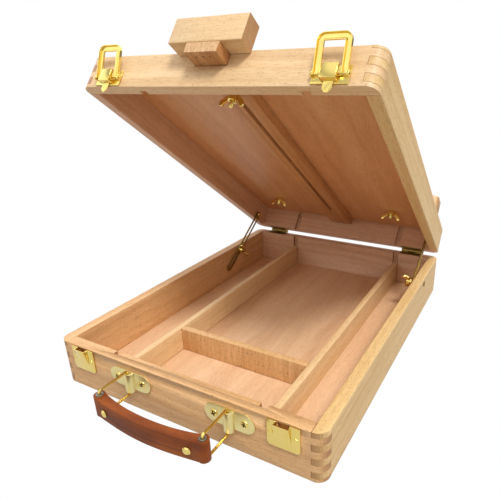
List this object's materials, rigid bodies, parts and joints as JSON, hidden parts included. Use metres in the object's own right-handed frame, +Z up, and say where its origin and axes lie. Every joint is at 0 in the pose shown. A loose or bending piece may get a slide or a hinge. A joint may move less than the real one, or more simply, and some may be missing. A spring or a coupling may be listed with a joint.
{
  "type": "tabletop sketch-box easel",
  "caption": "Beech tabletop sketch-box easel: hinged lid on brass stays, divided paint box, sliding canvas mast, brass latches and a leather carrying handle.",
  "frame": {"origin": "middle of the base's underside, on the surface the box stands on", "axes": "+Z up, the front with the carrying handle faces -Y, the lid's hinge runs along X at the rear, +X to the right seen from the front"},
  "size_m": [0.273, 0.4169, 0.3104],
  "materials": {
    "beech": "satin",
    "plywood": "satin",
    "brass": "polished",
    "steel": "satin",
    "leather": "semi-gloss",
    "sleeve": "matte"
  },
  "bodies": {
    "base": {"base_front_wall": "beech", "base_rear_wall": "beech", "base_left_wall": "beech", "base_right_wall": "beech", "divider_left": "beech", "divider_right": "beech", "cross_divider": "beech", "base_floor": "plywood", "hinge_base_leaf_left": "brass", "keeper_left": "brass", "handle_plate_left": "brass", "hinge_pin_left": "steel", "hinge_base_leaf_right": "brass", "keeper_right": "brass", "handle_plate_right": "brass", "hinge_pin_right": "steel"},
    "lid": {"lid_front_wall": "beech", "lid_rear_wall": "beech", "lid_left_wall": "beech", "lid_right_wall": "beech", "ledge": "beech", "lid_panel": "plywood", "mast_bolt": "brass", "hinge_lid_leaf_left": "brass", "latch_plate_left": "brass", "latch_pin_left": "brass", "ledge_bolt_left": "brass", "hinge_lid_leaf_right": "brass", "latch_plate_right": "brass", "latch_pin_right": "brass", "ledge_bolt_right": "brass"},
    "mast": {"mast": "beech", "cross_block": "beech", "mast_brad_1": "steel", "mast_brad_2": "steel", "mast_brad_3": "steel"},
    "mast_nut": {"mast_wing_nut": "brass"},
    "ledge_nut_left": {"ledge_wing_nut_left": "brass"},
    "latch_lever_left": {"latch_lever_left": "brass"},
    "latch_hook_left": {"latch_hook_left": "brass"},
    "stay_clamp_left": {"stay_bolt_left": "brass"},
    "stay_nut_left": {"stay_wing_nut_left": "brass"},
    "stay_bar_left": {"stay_bar_left": "brass", "stay_screw_left": "brass"},
    "handle_ring_left": {"handle_ring_left": "brass"},
    "ledge_nut_right": {"ledge_wing_nut_right": "brass"},
    "latch_lever_right": {"latch_lever_right": "brass"},
    "latch_hook_right": {"latch_hook_right": "brass"},
    "stay_clamp_right": {"stay_bolt_right": "brass"},
    "stay_nut_right": {"stay_wing_nut_right": "brass"},
    "stay_bar_right": {"stay_bar_right": "brass", "stay_screw_right": "brass"},
    "handle_ring_right": {"handle_ring_right": "brass"},
    "handle_grip": {"leather_grip": "leather", "handle_sleeve_left": "sleeve", "handle_sleeve_right": "sleeve", "grip_rivet_left": "brass", "grip_rivet_right": "brass"}
  },
  "joints": [
    {"name": "lid_hinge", "type": "hinge", "parent": "base", "child": "lid", "pos_m": [0, 0.1805, 0.0458], "axis": [-1, 0, 0], "range_deg": [-36.8, 43.5]},
    {"name": "mast_slide", "type": "slide", "parent": "lid", "child": "mast", "axis": [0, -0.8007, 0.599], "range_m": [0, 0.25]},
    {"name": "mast_nut_turn", "type": "hinge", "parent": "lid", "child": "mast_nut", "pos_m": [0, -0.06525, 0.254], "axis": [0, -0.599, -0.8007], "continuous": true},
    {"name": "stay_swing_left", "type": "hinge", "parent": "base", "child": "stay_clamp_left", "pos_m": [-0.1225, 0.102, 0.038], "axis": [1, 0, 0], "range_deg": [-2.7, 3.2]},
    {"name": "stay_slide_left", "type": "slide", "parent": "stay_clamp_left", "child": "stay_bar_left", "axis": [0, 0.8259, 0.5639], "range_m": [-0.0235, 0.0277]},
    {"name": "stay_nut_turn_left", "type": "hinge", "parent": "stay_clamp_left", "child": "stay_nut_left", "pos_m": [-0.12145, 0.102, 0.038], "axis": [1, 0, 0], "continuous": true},
    {"name": "ledge_nut_turn_left", "type": "hinge", "parent": "lid", "child": "ledge_nut_left", "pos_m": [-0.0795, 0.14661, 0.1065], "axis": [0, -0.599, -0.8007], "continuous": true},
    {"name": "latch_swing_left", "type": "hinge", "parent": "lid", "child": "latch_lever_left", "pos_m": [-0.102, -0.10391, 0.26893], "axis": [1, 0, 0], "range_deg": [-17, 120]},
    {"name": "latch_hook_slide_left", "type": "slide", "parent": "lid", "child": "latch_hook_left", "axis": [0, -0.599, -0.8007], "range_m": [-0.0004, 0.0028]},
    {"name": "stay_swing_right", "type": "hinge", "parent": "base", "child": "stay_clamp_right", "pos_m": [0.1225, 0.102, 0.038], "axis": [1, 0, 0], "range_deg": [-2.7, 3.2]},
    {"name": "stay_slide_right", "type": "slide", "parent": "stay_clamp_right", "child": "stay_bar_right", "axis": [0, 0.8259, 0.5639], "range_m": [-0.0235, 0.0277]},
    {"name": "stay_nut_turn_right", "type": "hinge", "parent": "stay_clamp_right", "child": "stay_nut_right", "pos_m": [0.12145, 0.102, 0.038], "axis": [-1, 0, 0], "continuous": true},
    {"name": "ledge_nut_turn_right", "type": "hinge", "parent": "lid", "child": "ledge_nut_right", "pos_m": [0.0795, 0.14661, 0.1065], "axis": [0, -0.599, -0.8007], "continuous": true},
    {"name": "latch_swing_right", "type": "hinge", "parent": "lid", "child": "latch_lever_right", "pos_m": [0.102, -0.10391, 0.26893], "axis": [1, 0, 0], "range_deg": [-17, 120]},
    {"name": "latch_hook_slide_right", "type": "slide", "parent": "lid", "child": "latch_hook_right", "axis": [0, -0.599, -0.8007], "range_m": [-0.0004, 0.0028]},
    {"name": "handle_swing_left", "type": "hinge", "parent": "base", "child": "handle_ring_left", "pos_m": [-0.046, -0.1809, 0.0298], "axis": [0, 0, 1], "range_deg": [-60, 60]},
    {"name": "handle_swing_right", "type": "hinge", "parent": "base", "child": "handle_ring_right", "pos_m": [0.0565, -0.1809, 0.0298], "axis": [0, 0, 1], "range_deg": [-60, 60]},
    {"name": "grip_turn", "type": "hinge", "parent": "handle_ring_left", "child": "handle_grip", "pos_m": [-0.046, -0.21, 0.0298], "axis": [0, 0, 1], "range_deg": [-60, 60]}
  ],
  "couplings": [
    {"joint": "stay_swing_left", "follows": "lid_hinge", "ratio": 0.07},
    {"joint": "stay_slide_left", "follows": "lid_hinge", "m_per_rad": 0.03617},
    {"joint": "latch_hook_slide_left", "follows": "latch_swing_left", "m_per_rad": 0.0013},
    {"joint": "stay_swing_right", "follows": "lid_hinge", "ratio": 0.07},
    {"joint": "stay_slide_right", "follows": "lid_hinge", "m_per_rad": 0.03617},
    {"joint": "latch_hook_slide_right", "follows": "latch_swing_right", "m_per_rad": 0.0013},
    {"joint": "handle_swing_right", "follows": "handle_swing_left", "ratio": 1},
    {"joint": "grip_turn", "follows": "handle_swing_left", "ratio": -1}
  ]
}
